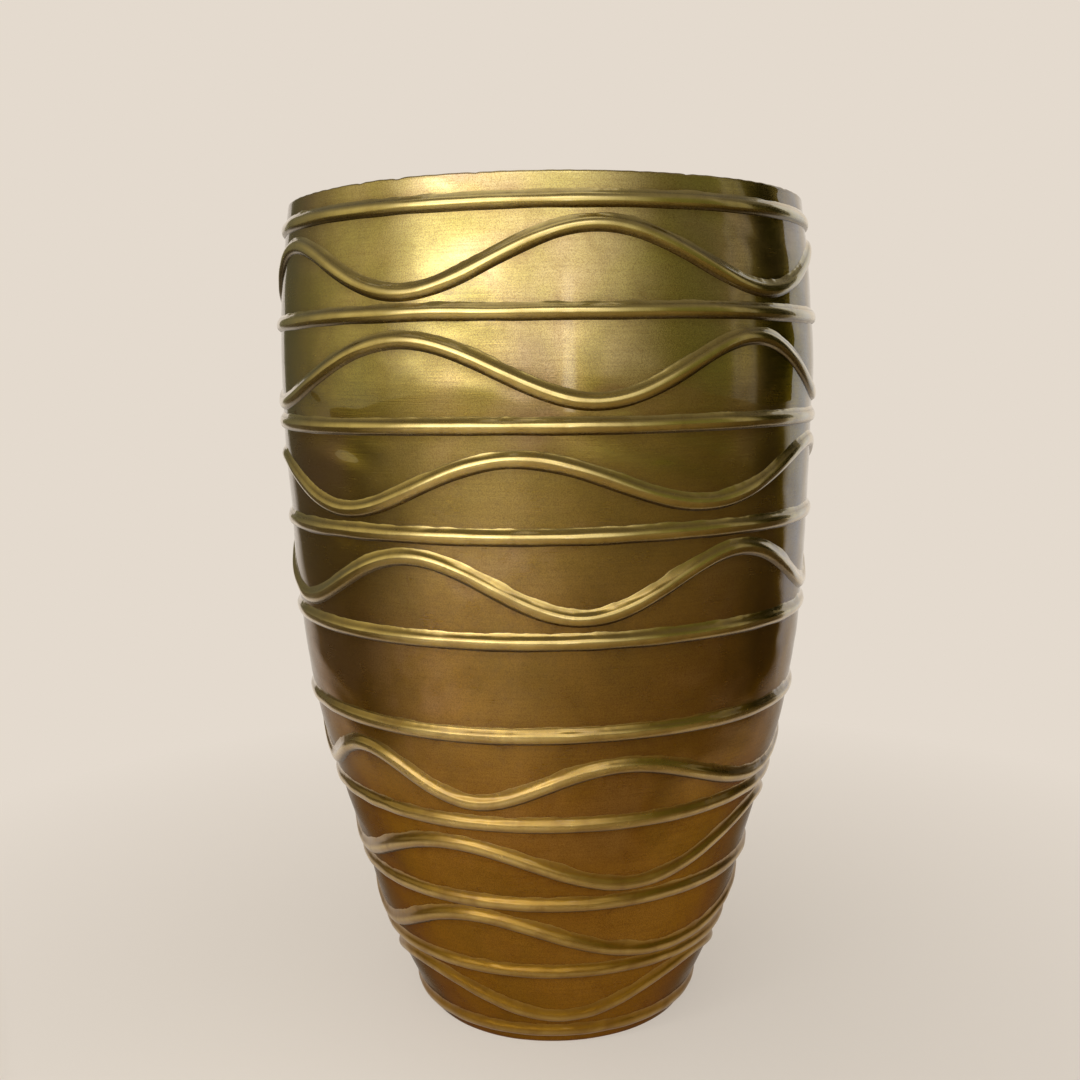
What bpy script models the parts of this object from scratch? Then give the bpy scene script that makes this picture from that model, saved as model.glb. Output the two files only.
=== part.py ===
"""Tall tapered brass planter pot with soldered ring wires and hand-bent wave wires.

Metres, +Z up. The origin is the centre of the base, on the surface that the pot stands on.
Azimuth 0 is the front, towards -Y, and it grows towards +X. Rings are numbered from the rim down.
"""

import math
from collections import namedtuple

import bmesh
import bpy
import numpy as np

# Heights: the whole pot, rim edge to the centre of ring 1, and the centre of ring 10 to the floor.
# The bands between the rings share the rest in these proportions, top band first.
HEIGHT = 0.6100
LIP_HEIGHT = 0.0180
FOOT_HEIGHT = 0.0114
BAND_SHARES = (666, 699, 690, 679, 638, 658, 639, 569, 568)

# The sheet body runs as one smooth curve. Its outer radius at the shoulder, which is ring 2, and
# how far it draws in from there to the rim edge, and down from ring 2 to 4, 6, 8, 9 and the floor.
SHOULDER_RADIUS = 0.1984
RIM_DRAW = 0.0086
BELLY_DRAW = 0.0022
WAIST_DRAW = 0.0120
TAPER_DRAW = 0.0341
ANKLE_DRAW = 0.0170
BASE_DRAW = 0.0287

# Sheet metal: body and base thickness, the hem folded inside the rim, the lap of the two shells.
SHEET = 0.0012
BASE_SHEET = 0.0020
HEM_DEPTH = 0.0080
SEAM_RING = 6
SEAM_LAP = 0.0100

# Half-oval wire, soldered on with a thin film of solder between it and the wall.
WIRE_WIDTH = 0.0092
WIRE_RISE = 0.0032
SEAT = 0.0003

# A wave wire lies in the band below ring_above. It makes a whole number of waves round the pot.
# crest_at is where a crest would be in an even wave, and sway bunches the waves up towards sway_at,
# all in degrees. tilt lifts the +X side. The gaps are clear metal between the wire and the rings.
Wave = namedtuple("Wave", "ring_above waves crest_at sway sway_at tilt crest_gap trough_gap")
WAVES = (
    Wave(1, 5, 12.8, 20.0, -111.0, 0.0013, 0.0056, 0.0045),
    Wave(2, 4, -45.2, 75.0, 38.0, 0.0003, 0.0068, 0.0053),
    Wave(3, 5, -2.8, 20.0, -124.0, 0.0032, 0.0109, 0.0071),
    Wave(4, 5, -30.6, 19.0, 20.0, 0.0002, 0.0051, 0.0060),
    Wave(6, 5, 39.4, 120.0, -79.0, -0.0028, 0.0133, 0.0055),
    Wave(7, 4, -23.9, 9.0, -162.0, 0.0021, 0.0081, 0.0036),
    Wave(8, 3, -2.3, 71.0, -80.0, -0.0005, 0.0035, 0.0014),
    Wave(9, 3, -61.2, 28.0, 21.0, 0.0013, 0.0020, 0.0057),
)

# Facets: sides round the pot, wall steps in each band, arc points on a wire's back.
SIDES = 48
BAND_STEPS = 2
ARC_POINTS = 3

# Finishes: linear colour and roughness of each kind of piece.
UPPER_FINISH = ((0.56, 0.38, 0.13), 0.30)
LOWER_FINISH = ((0.40, 0.24, 0.09), 0.34)
BASE_FINISH = ((0.36, 0.23, 0.09), 0.45)
RING_FINISH = ((0.68, 0.50, 0.20), 0.24)
WAVE_FINISH = ((0.64, 0.46, 0.18), 0.26)


def ring_levels():
    """Height of each ring's centre line, ring 1 first."""
    levels = [HEIGHT - LIP_HEIGHT]
    banded = HEIGHT - LIP_HEIGHT - FOOT_HEIGHT
    for share in BAND_SHARES:
        levels.append(levels[-1] - banded * share / sum(BAND_SHARES))
    return levels


RINGS = ring_levels()


def ring(number):
    """Height of a ring's centre line by its number."""
    return RINGS[number - 1]


def curve_stations():
    """Heights and radii that the body's curve runs through, floor first."""
    draws = (BELLY_DRAW, WAIST_DRAW, TAPER_DRAW, ANKLE_DRAW, BASE_DRAW)
    levels = (ring(4), ring(6), ring(8), ring(9), 0.0)
    stations = [(HEIGHT, SHOULDER_RADIUS - RIM_DRAW), (ring(2), SHOULDER_RADIUS)]
    for level, draw in zip(levels, draws):
        stations.append((level, stations[-1][1] - draw))
    return stations[::-1]


STATIONS = curve_stations()


def spline_bends(stations):
    """Second derivatives of the natural cubic curve through the stations."""
    count = len(stations)
    system = np.eye(count)
    target = np.zeros(count)
    for i in range(1, count - 1):
        (z0, r0), (z1, r1), (z2, r2) = stations[i - 1:i + 2]
        system[i, i - 1:i + 2] = (z1 - z0, 2 * (z2 - z0), z2 - z1)
        target[i] = 6 * ((r2 - r1) / (z2 - z1) - (r1 - r0) / (z1 - z0))
    return np.linalg.solve(system, target)


BENDS = spline_bends(STATIONS)


def curve(z):
    """Radius of the smooth curve at height z, and its slope dr/dz."""
    i = 0
    while i < len(STATIONS) - 2 and z > STATIONS[i + 1][0]:
        i += 1
    (z0, r0), (z1, r1) = STATIONS[i:i + 2]
    b0, b1 = BENDS[i:i + 2]
    span = z1 - z0
    a = (z1 - z) / span
    b = (z - z0) / span
    radius = a * r0 + b * r1 + ((a ** 3 - a) * b0 + (b ** 3 - b) * b1) * span ** 2 / 6
    slope = (r1 - r0) / span + ((3 * b * b - 1) * b1 - (3 * a * a - 1) * b0) * span / 6
    return float(radius), float(slope)


def rolled_heights():
    """Heights at which the sheet is rolled to the curve, floor first: each ring and steps between."""
    marks = [0.0] + RINGS[::-1] + [HEIGHT]
    heights = []
    for lower, upper in zip(marks, marks[1:]):
        steps = 1 if lower == 0.0 or upper == HEIGHT else BAND_STEPS
        heights += [lower + (upper - lower) * i / steps for i in range(steps)]
    return heights + [HEIGHT]


ROLLED = rolled_heights()
ROLLED_RADII = [curve(z)[0] for z in ROLLED]


def wall(z):
    """Outer radius of the sheet, straight between the rolled heights, and the curve's slope."""
    return float(np.interp(z, ROLLED, ROLLED_RADII)), curve(z)[1]


def skin(z, layers=0.0, gaps=0):
    """Point of the wall at height z, moved in by so many sheets and so many seat gaps."""
    radius, slope = wall(z)
    return (radius - (layers * SHEET + gaps * SEAT) * math.hypot(1, slope), z)


def wall_heights(top, bottom):
    """Heights of the wall's points from top to bottom: both ends and the rolled heights between."""
    return [top] + [z for z in reversed(ROLLED) if bottom < z < top] + [bottom]


def upper_profile():
    """Closed outline of the upper shell: down its outside, up its inside, hem at the rim."""
    seam = ring(SEAM_RING)
    outside = [skin(z) for z in wall_heights(HEIGHT, seam)]
    hem_foot = HEIGHT - HEM_DEPTH
    inside = [skin(z, 1) for z in reversed(wall_heights(hem_foot, seam))]
    return outside + inside + [skin(hem_foot, 2), skin(HEIGHT, 2)]


def lower_profile():
    """Closed outline of the lower shell, whose top is set in to nest inside the upper shell."""
    step = ring(SEAM_RING) - SEAT
    lap_top = ring(SEAM_RING) + SEAM_LAP
    set_in = step - SHEET
    eased = set_in - 2 * SHEET
    outside = [skin(lap_top, 1, 1), skin(step, 1, 1)] + [skin(z) for z in wall_heights(step, 0.0)]
    inside = [skin(z, 1) for z in reversed(wall_heights(eased, 0.0))]
    return outside + inside + [skin(set_in, 2, 1), skin(lap_top, 2, 1)]


def base_profile():
    """Outline of the base plate, a disc filed to the slope of the lower shell that it closes."""
    return [(0.0, BASE_SHEET), skin(BASE_SHEET, 1, 1), skin(0.0, 1, 1), (0.0, 0.0)]


def wire_section():
    """Half-oval section of the wire, across the wire and out from its seat, first edge first."""
    half = WIRE_WIDTH / 2
    points = [(half, 0.0)]
    for i in range(1, ARC_POINTS + 1):
        turn = math.pi * i / (ARC_POINTS + 1)
        points.append((half * math.cos(turn), WIRE_RISE * math.sin(turn)))
    points.append((-half, 0.0))
    return points


def on_wall(angle, z):
    """Point of the outer wall at an angle from +X and a height."""
    radius = wall(z)[0]
    return np.array((radius * math.cos(angle), radius * math.sin(angle), z))


def lay_section(angle, z, along):
    """The wire's section laid on the wall, where each point follows the sheet at its own height."""
    slope = wall(z)[1]
    outward = np.array((math.cos(angle), math.sin(angle), -slope)) / math.hypot(1, slope)
    across = np.cross(outward, along)
    centre = on_wall(angle, z)
    feet = []
    for u, _ in wire_section():
        x, y, height = centre + across * u
        feet.append(on_wall(math.atan2(y, x), height))
    bulge = max(0.0, float(np.dot(centre - (feet[0] + feet[-1]) / 2, outward)))
    return [foot + outward * (SEAT + bulge + v) for foot, (_, v) in zip(feet, wire_section())]


def ring_profile(level):
    """Outline of a ring wire, measured from its own height."""
    points = lay_section(0.0, level, np.array((0.0, 1.0, 0.0)))
    return [(float(x), float(z) - level) for x, _, z in points]


def wave_path(wave):
    """Height of a wave wire's centre line as a function of the angle round the pot."""
    crest = ring(wave.ring_above) - WIRE_WIDTH - wave.crest_gap
    trough = ring(wave.ring_above + 1) + WIRE_WIDTH + wave.trough_gap
    middle = (crest + trough) / 2
    swing = (crest - trough) / 2

    def height(angle):
        azimuth = angle + math.pi / 2
        bunch = math.radians(wave.sway) * math.sin(azimuth - math.radians(wave.sway_at))
        phase = wave.waves * (azimuth - math.radians(wave.crest_at)) + bunch
        return middle + swing * math.cos(phase) + wave.tilt * math.sin(azimuth)

    return height


def wave_mesh(name, wave):
    """Wire section swept along a wave that follows the curved and tapered wall."""
    height = wave_path(wave)
    turn = 2 * math.pi / SIDES
    bm = bmesh.new()
    loops = []
    for i in range(SIDES):
        angle = turn * i
        small = turn / 100
        ahead = on_wall(angle + small, height(angle + small))
        behind = on_wall(angle - small, height(angle - small))
        along = (ahead - behind) / np.linalg.norm(ahead - behind)
        points = lay_section(angle, height(angle), along)
        loops.append([bm.verts.new(point) for point in points])
    for i in range(SIDES):
        here, following = loops[i], loops[(i + 1) % SIDES]
        for j in range(len(here)):
            k = (j + 1) % len(here)
            bm.faces.new((here[j], here[k], following[k], following[j]))
    bmesh.ops.recalc_face_normals(bm, faces=bm.faces)
    mesh = bpy.data.meshes.new(name)
    bm.to_mesh(mesh)
    bm.free()
    return mesh


def profile_mesh(name, points, closed):
    """Outline in the XZ plane, ready to be turned round Z."""
    bm = bmesh.new()
    verts = [bm.verts.new((r, 0.0, z)) for r, z in points]
    for a, b in zip(verts, verts[1:]):
        bm.edges.new((a, b))
    if closed:
        bm.edges.new((verts[-1], verts[0]))
    mesh = bpy.data.meshes.new(name)
    bm.to_mesh(mesh)
    bm.free()
    return mesh


def brass(name, finish):
    """Brass of one piece."""
    colour, roughness = finish
    material = bpy.data.materials.new(name + "_brass")
    material.use_nodes = True
    shader = material.node_tree.nodes["Principled BSDF"]
    shader.inputs["Base Color"].default_value = (*colour, 1.0)
    shader.inputs["Roughness"].default_value = roughness
    shader.inputs["Metallic"].default_value = 1.0
    return material


def add_piece(name, mesh, finish, pot):
    """Named object with its own brass, held by the pot's empty."""
    mesh.materials.append(brass(name, finish))
    piece = bpy.data.objects.new(name, mesh)
    bpy.context.scene.collection.objects.link(piece)
    piece.parent = pot
    return piece


def add_turned(name, points, finish, pot, closed=True, level=0.0):
    """Piece turned round Z from its outline."""
    piece = add_piece(name, profile_mesh(name, points, closed), finish, pot)
    piece.location.z = level
    screw = piece.modifiers.new("turn", "SCREW")
    screw.axis = "Z"
    screw.angle = 2 * math.pi
    screw.steps = SIDES
    screw.render_steps = SIDES
    screw.use_merge_vertices = True
    screw.merge_threshold = SEAT / 10
    screw.use_smooth_shade = True
    return piece


def build():
    """The whole pot."""
    for old in list(bpy.data.objects):
        bpy.data.objects.remove(old, do_unlink=True)
    pot = bpy.data.objects.new("planter_pot", None)
    bpy.context.scene.collection.objects.link(pot)

    add_turned("upper_body_shell", upper_profile(), UPPER_FINISH, pot)
    add_turned("lower_body_shell", lower_profile(), LOWER_FINISH, pot)
    add_turned("base_plate", base_profile(), BASE_FINISH, pot, closed=False)
    for number, level in enumerate(RINGS, 1):
        add_turned(f"ring_wire_{number:02d}", ring_profile(level), RING_FINISH, pot, level=level)
    for number, wave in enumerate(WAVES, 1):
        name = f"wave_wire_{number:02d}"
        piece = add_piece(name, wave_mesh(name, wave), WAVE_FINISH, pot)
        piece.data.shade_smooth()


build()
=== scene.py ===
import math

import bpy
import numpy as np
from mathutils import Matrix, Vector


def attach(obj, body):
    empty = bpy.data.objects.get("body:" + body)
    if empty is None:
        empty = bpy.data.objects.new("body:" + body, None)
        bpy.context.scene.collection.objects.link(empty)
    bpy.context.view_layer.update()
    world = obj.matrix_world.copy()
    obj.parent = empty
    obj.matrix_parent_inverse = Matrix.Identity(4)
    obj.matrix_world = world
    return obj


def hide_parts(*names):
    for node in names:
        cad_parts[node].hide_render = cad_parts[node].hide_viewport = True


# Planter pot of antiqued sheet brass with soldered half-round wires, dressed over its CAD frame.
# Metres, +Z up. Angles run from +X towards +Y, and the front of the pot looks along -Y.
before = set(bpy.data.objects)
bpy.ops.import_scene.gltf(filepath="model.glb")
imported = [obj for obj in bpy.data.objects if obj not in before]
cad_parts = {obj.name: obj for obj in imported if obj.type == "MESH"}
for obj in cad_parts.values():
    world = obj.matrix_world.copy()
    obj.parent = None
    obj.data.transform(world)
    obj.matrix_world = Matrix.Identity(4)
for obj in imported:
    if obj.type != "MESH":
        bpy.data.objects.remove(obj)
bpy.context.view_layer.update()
print("frame loaded:", len(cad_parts), "CAD nodes")

# the pot's curve, repeated from the CAD source

potShape = {
    "height": 0.6100,
    "lip": 0.0180,          # rim edge to ring 1
    "foot": 0.0114,         # ring 10 to the floor
    "bandShares": (666, 699, 690, 679, 638, 658, 639, 569, 568),
    "shoulder": 0.1984,     # outer radius at ring 2
    "rimDraw": 0.0086,
    "draws": ((4, 0.0022), (6, 0.0120), (8, 0.0341), (9, 0.0170), (0, 0.0287)),
    "sheet": 0.0012,
    "baseSheet": 0.0020,
    "hem": 0.0080,
    "seamRing": 6,
    "lap": 0.0100,
    "dent": 0.0007,         # deepest hand dent of the sheet, always inward
    "pillow": 0.0004,       # the sheet is drawn in this much at each soldered ring
}
height = potShape["height"]
sheet = potShape["sheet"]

banded = height - potShape["lip"] - potShape["foot"]
shares = np.array(potShape["bandShares"], float)
ringZ = height - potShape["lip"] - np.concatenate(([0.0], np.cumsum(shares) / shares.sum() * banded))

stations = [(height, potShape["shoulder"] - potShape["rimDraw"]), (ringZ[1], potShape["shoulder"])]
for ringNumber, draw in potShape["draws"]:
    stations.append((ringZ[ringNumber - 1] if ringNumber else 0.0, stations[-1][1] - draw))
wallZ, wallR = (np.array(column) for column in zip(*stations[::-1]))


def splineBends(z, r):
    system, target = np.eye(len(z)), np.zeros(len(z))
    for i in range(1, len(z) - 1):
        below, above = z[i] - z[i - 1], z[i + 1] - z[i]
        system[i, i - 1:i + 2] = (below, 2 * (below + above), above)
        target[i] = 6 * ((r[i + 1] - r[i]) / above - (r[i] - r[i - 1]) / below)
    return np.linalg.solve(system, target)


wallBend = splineBends(wallZ, wallR)


def wallAt(z):
    z = np.asarray(z, float)
    i = np.clip(np.searchsorted(wallZ, z) - 1, 0, len(wallZ) - 2)
    span = wallZ[i + 1] - wallZ[i]
    a = (wallZ[i + 1] - z) / span
    b = 1 - a
    radius = a * wallR[i] + b * wallR[i + 1]
    radius = radius + ((a ** 3 - a) * wallBend[i] + (b ** 3 - b) * wallBend[i + 1]) * span ** 2 / 6
    slope = (wallR[i + 1] - wallR[i]) / span
    slope = slope + ((3 * b * b - 1) * wallBend[i + 1] - (3 * a * a - 1) * wallBend[i]) * span / 6
    return radius, slope


def ripple(angle, seed, low, high):
    # closed random wave round the pot, about -1 to 1, made of the harmonics from low to high
    rng = np.random.default_rng(seed)
    harmonics = np.unique(np.linspace(low, high, 48).round())
    total = np.zeros_like(angle)
    for k in harmonics:
        total = total + rng.normal() * np.cos(k * angle + rng.uniform(0, 2 * math.pi))
    return np.clip(total / math.sqrt(2 * len(harmonics)), -1, 1)


# broad dents, 70 mm and more across, and the small ripples left by planishing
dentWaves = []
dentRng = np.random.default_rng(41)
for turns, rises, weight, count in (((1, 8), (18, 95), 0.35, 22), ((8, 42), (60, 230), 0.030, 40),
                                    ((5, 22), (150, 360), 0.055, 30)):
    for i in range(count):
        dentWaves.append((dentRng.integers(*turns), dentRng.uniform(*rises) * dentRng.choice((-1, 1)),
                          dentRng.uniform(0, 2 * math.pi), dentRng.normal() * weight))


def dentAt(angle, z):
    total = 0.0
    for k, m, phase, weight in dentWaves:
        total = total + weight * np.cos(k * angle + m * z + phase)
    inBand = np.interp(z, ringZ[::-1], np.arange(len(ringZ))[::-1].astype(float))
    drawn = (1 + np.cos(2 * math.pi * inBand)) / 2
    return -potShape["dent"] * (1 + np.tanh(total)) / 2 - potShape["pillow"] * drawn


def onWall(angle, z, inset=0.0):
    radius, slope = wallAt(z)
    radius = radius + dentAt(angle, z) - inset * np.hypot(1, slope)
    return np.stack([radius * np.cos(angle), radius * np.sin(angle), z + 0 * angle], axis=-1)


# mesh helpers

def latticeMesh(name, points, marks):
    # points: rows of a closed section, each a closed ring of columns; marks: values for each point
    rows, columns = points.shape[:2]
    index = np.arange(rows * columns).reshape(rows, columns)
    below, beside = np.roll(index, -1, 0), np.roll(index, -1, 1)
    both = np.roll(below, -1, 1)
    quads = np.stack([index, below, both, beside], axis=-1).reshape(-1, 4)
    mesh = bpy.data.meshes.new(name)
    mesh.from_pydata(points.reshape(-1, 3).tolist(), [], quads.tolist())
    mesh.shade_smooth()
    for key, values in marks.items():
        layer = mesh.attributes.new(key, "FLOAT", "POINT")
        layer.data.foreach_set("value", np.broadcast_to(values, (rows, columns)).astype(np.float32).ravel())
    return mesh


def addPiece(name, mesh, material, slot, *nodes):
    piece = bpy.data.objects.new(name, mesh)
    bpy.context.scene.collection.objects.link(piece)
    mesh.materials.append(material)
    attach(piece, "root")
    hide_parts(*nodes)


# material helpers

def toLinear(hexColour):
    parts = [int(hexColour[i:i + 2], 16) / 255 for i in (1, 3, 5)]
    return tuple(c / 12.92 if c <= 0.04045 else ((c + 0.055) / 1.055) ** 2.4 for c in parts) + (1.0,)


def addNode(tree, kind, inputs=None, stops=(), **settings):
    made = tree.nodes.new(kind)
    for key, value in settings.items():
        setattr(made, key, value)
    for key, value in (inputs or {}).items():
        if isinstance(value, bpy.types.NodeSocket):
            tree.links.new(value, made.inputs[key])
        else:
            made.inputs[key].default_value = value
    for i, (place, colour) in enumerate(stops):
        element = made.color_ramp.elements[i] if i < 2 else made.color_ramp.elements.new(place)
        element.position = place
        element.color = toLinear(colour)
    return made


def newMaterial(name):
    material = bpy.data.materials.new(name)
    material.use_nodes = True
    tree = material.node_tree
    shader = tree.nodes["Principled BSDF"]
    shader.inputs["Metallic"].default_value = 1.0
    return material, tree, shader


def heightShare(tree):
    # a place on the pot, and its height as a share of the whole
    place = addNode(tree, "ShaderNodeTexCoord").outputs["Object"]
    level = addNode(tree, "ShaderNodeSeparateXYZ", {0: place}).outputs["Z"]
    share = addNode(tree, "ShaderNodeMapRange", {"Value": level, "From Max": height}).outputs[0]
    return place, share


def toneByBearing(tree, place, colours):
    # colours are given by degrees from the front, positive to the right
    axes = addNode(tree, "ShaderNodeSeparateXYZ", {0: place}).outputs
    ahead = addNode(tree, "ShaderNodeMath", {0: axes["Y"], 1: -1.0}, operation="MULTIPLY").outputs[0]
    bearing = addNode(tree, "ShaderNodeMath", {0: axes["X"], 1: ahead}, operation="ARCTAN2").outputs[0]
    around = addNode(tree, "ShaderNodeMapRange", {"Value": bearing, "From Min": -math.pi,
                     "From Max": math.pi}).outputs[0]
    stops = [((degrees + 180) / 360, colour) for degrees, colour in colours]
    tone = addNode(tree, "ShaderNodeValToRGB", {0: around}, stops).outputs[0]
    return axes, bearing, tone


def feedShader(tree, shader, sockets):
    for key, value in sockets.items():
        tree.links.new(value, shader.inputs[key])


# antiqued lacquered sheet brass: rolled sheet, brushed round, darkened with acid, rubbed back
# and sprayed with clear gloss lacquer. The eye gets a satin metal with fine lines round the pot,
# cloudy olive and rosy patches, a foot painted darker and browner as a painted reflection of a
# dark brown floor, and sharp reflections in the lacquer at the edges.

bodyLook = {
    # the height tones are a painted reflection: darker and browner towards the foot, standing in for a dark
    # brown floor mirrored in the metal
    "tones": ((0.0, "#8E6214"), (0.30, "#986C22"), (0.52, "#AC8638"), (0.70, "#B89E4E"), (1.0, "#C8B268")),
    "rosy": "#C09A88",
    "rosyRise": (0.25, 0.50),       # shares of the height between which the rosy patches come in
    "olive": "#DCE8AC",
    "smudge": "#DCD0B0",
    "line": "#E2D8BC",
    "halo": "#C0AE84",
    "grain": "#D4CAB0",
    # the inside is painted lighter than the brass outside, standing in for light reaching into the deep pot
    "insidePaintedLightTones": ((0.0, "#B8985C"), (0.55, "#D0B070"), (1.0, "#E0C68C")),
    "heat": "#6A4A52",
    "cloudSize": 0.110,     # patches of the acid, a hand wide
    "smudgeSize": 0.024,    # dabs of the rubbing cloth
    "linePitch": 0.0011,    # real brush lines are 0.2 mm apart, drawn coarser so that they show
    "lineLength": 0.035,
    "grainSize": 0.0008,    # the sheet's grain is 0.1 mm, drawn coarser for the same reason
    # level of each pattern where its tint begins, where it is full, and how strong it is there
    "rosyPart": (0.48, 0.68, 0.6),
    "olivePart": (0.50, 0.30, 0.8),
    "smudgePart": (0.46, 0.74, 0.55),
    "linePart": (0.42, 0.72, 0.5),
    "grainPart": (0.40, 0.70, 1.0),
    "roughness": (0.17, 0.25),
    "glance": "#A8A49C",    # antiqued metal is darker than polished brass at a glancing angle
    "coat": (0.10, 1.0),    # sprayed from above, so the lacquer is thin low down
    "coatRise": (0.30, 0.60),
    "coatRoughness": 0.03,
    "coatIor": 1.6,
    "smudgeDull": 0.16,     # added to the roughness in the smudges
    "insideDull": 0.20,     # and inside
    "insideCoat": 0.05,     # share of the lacquer that got inside
    "bump": (0.35, 0.00012),        # strength, and depth in metres
}


def makeSheetBrass(name, look):
    material, tree, shader = newMaterial(name)
    place, share = heightShare(tree)
    inside = addNode(tree, "ShaderNodeAttribute", attribute_name="inside").outputs["Fac"]
    halo = addNode(tree, "ShaderNodeAttribute", attribute_name="halo").outputs["Fac"]
    heat = addNode(tree, "ShaderNodeAttribute", attribute_name="heat").outputs["Fac"]

    cloud = addNode(tree, "ShaderNodeTexNoise", {"Vector": place, "Scale": 1 / look["cloudSize"],
                    "Detail": 3.0, "Roughness": 0.55, "Distortion": 0.4}).outputs["Fac"]
    smudge = addNode(tree, "ShaderNodeTexNoise", {"Vector": place, "Scale": 1 / look["smudgeSize"],
                     "Detail": 6.0, "Roughness": 0.62, "Distortion": 0.8}).outputs["Fac"]
    stretched = addNode(tree, "ShaderNodeMapping", {"Vector": place, "Scale": (
        1 / look["lineLength"], 1 / look["lineLength"], 1 / look["linePitch"])}).outputs[0]
    lines = addNode(tree, "ShaderNodeTexNoise", {"Vector": stretched, "Scale": 1.0, "Detail": 3.0,
                    "Roughness": 0.65}).outputs["Fac"]
    grain = addNode(tree, "ShaderNodeTexNoise", {"Vector": place, "Scale": 1 / look["grainSize"],
                    "Detail": 2.0}).outputs["Fac"]

    # the height tone, painted darker and browner towards the foot as a reflection of a dark floor, drifts a
    # little with the cloudy patches
    drift = addNode(tree, "ShaderNodeMapRange", {"Value": cloud, "From Min": 0.25, "From Max": 0.75,
                    "To Min": -0.10, "To Max": 0.10}).outputs[0]
    shifted = addNode(tree, "ShaderNodeMath", {0: share, 1: drift}, operation="ADD").outputs[0]
    tone = addNode(tree, "ShaderNodeValToRGB", {0: shifted}, look["tones"]).outputs[0]

    parts = {}
    for tint, pattern in (("rosy", cloud), ("olive", cloud), ("smudge", smudge), ("line", lines),
                          ("grain", grain)):
        begin, full, most = look[tint + "Part"]
        parts[tint] = addNode(tree, "ShaderNodeMapRange", {"Value": pattern, "From Min": begin,
                              "From Max": full, "To Max": most}).outputs[0]
    upper = addNode(tree, "ShaderNodeMapRange", {"Value": share, "From Min": look["rosyRise"][0],
                    "From Max": look["rosyRise"][1]}).outputs[0]
    rosy = addNode(tree, "ShaderNodeMath", {0: parts["rosy"], 1: upper}, operation="MULTIPLY").outputs[0]
    parts["halo"] = addNode(tree, "ShaderNodeMath", {0: halo, 1: smudge}, operation="MULTIPLY").outputs[0]
    colour = addNode(tree, "ShaderNodeMix", {0: rosy, 6: tone, 7: toLinear(look["rosy"])},
                     data_type="RGBA").outputs[2]
    for tint in ("olive", "smudge", "line", "halo", "grain"):
        colour = addNode(tree, "ShaderNodeMix", {0: parts[tint], 6: colour, 7: toLinear(look[tint])},
                         data_type="RGBA", blend_type="MULTIPLY").outputs[2]

    # bare inside: dull, hardly any lacquer, painted lighter than the brass outside for light reaching into
    # the deep pot, tinted where the wires were soldered on outside
    innerTone = addNode(tree, "ShaderNodeValToRGB", {0: smudge}, look["insidePaintedLightTones"]).outputs[0]
    tinted = addNode(tree, "ShaderNodeMix", {0: heat, 6: innerTone, 7: toLinear(look["heat"])},
                     data_type="RGBA", blend_type="MULTIPLY").outputs[2]
    colour = addNode(tree, "ShaderNodeMix", {0: inside, 6: colour, 7: tinted}, data_type="RGBA").outputs[2]

    low, high = look["roughness"]
    brushed = addNode(tree, "ShaderNodeMapRange", {"Value": lines, "From Min": 0.3, "From Max": 0.7,
                      "To Min": low, "To Max": high}).outputs[0]
    dulled = addNode(tree, "ShaderNodeMath", {0: parts["smudge"], 1: look["smudgeDull"], 2: brushed},
                     operation="MULTIPLY_ADD").outputs[0]
    dulled = addNode(tree, "ShaderNodeMath", {0: inside, 1: look["insideDull"], 2: dulled},
                     operation="MULTIPLY_ADD").outputs[0]
    sprayed = addNode(tree, "ShaderNodeMapRange", {"Value": share, "From Min": look["coatRise"][0],
                      "From Max": look["coatRise"][1], "To Min": look["coat"][0],
                      "To Max": look["coat"][1]}).outputs[0]
    bare = addNode(tree, "ShaderNodeMapRange", {"Value": inside, "To Min": 1.0,
                   "To Max": look["insideCoat"]}).outputs[0]
    coat = addNode(tree, "ShaderNodeMath", {0: sprayed, 1: bare}, operation="MULTIPLY").outputs[0]

    relief = lines
    for part, weight in ((grain, 0.5), (smudge, 1.2)):
        relief = addNode(tree, "ShaderNodeMath", {0: part, 1: weight, 2: relief},
                         operation="MULTIPLY_ADD").outputs[0]
    strength, depth = look["bump"]
    bump = addNode(tree, "ShaderNodeBump", {"Height": relief, "Strength": strength,
                   "Distance": depth}).outputs[0]

    feedShader(tree, shader, {"Base Color": colour, "Roughness": dulled, "Normal": bump,
                              "Coat Weight": coat})
    shader.inputs["Specular Tint"].default_value = toLinear(look["glance"])
    shader.inputs["Coat Roughness"].default_value = look["coatRoughness"]
    shader.inputs["Coat IOR"].default_value = look["coatIor"]
    return material


# rubbed half-round brass wire: drawn wire soldered on, filed, darkened with the body and rubbed back
# along its crown. The eye gets a bright yellow back with a painted highlight, a painted shadow as a
# brown line under it, a dark band above it of wax and painted dark reflection, a slightly ragged edge
# of solder above that with a painted highlight line, all under the same lacquer, and duller and painted
# darker low down.

wireLook = {
    # the height tones are painted shade: darker towards the foot, as the lower wires catch less light
    "tones": ((0.0, "#8A6418"), (0.25, "#94701E"), (0.45, "#A0802E"),
              (0.60, "#AE903E"), (0.75, "#BA9E4C"), (1.0, "#C4AC5C")),
    # the first is dark wax with painted shade, the second rubbed brass with painted highlight
    "shadeAndWax": "#34220A",
    "glintAndWearTone": "#DCC27A",
    "smudge": "#D8CCA8",
    "smudgeSize": 0.020,
    "speckSize": 0.0011,    # file marks and solder grit, drawn coarser than the real 0.3 mm
    "roughness": (0.16, 0.25),
    # shares of the height, and what there is at each
    "dull": ((0.20, 0.50), (0.14, 0.0)),        # low wires are seldom wiped
    "glintAndWearByHeight": ((0.05, 0.50), (0.25, 1.0)),     # the rubbed wear and the painted highlight, both painted weaker towards the foot as shade
    "sprayed": ((0.10, 0.48), (0.15, 1.0)),     # lacquer
    "creviceDull": 0.10,    # added to the roughness in the corners
    "waxCover": 0.92,       # share of the lacquer's shine that the wax and the painted shade hide
    "coatRoughness": 0.04,
    "coatIor": 1.6,
    "bump": (0.3, 0.0001),  # strength, and depth in metres
}


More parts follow.
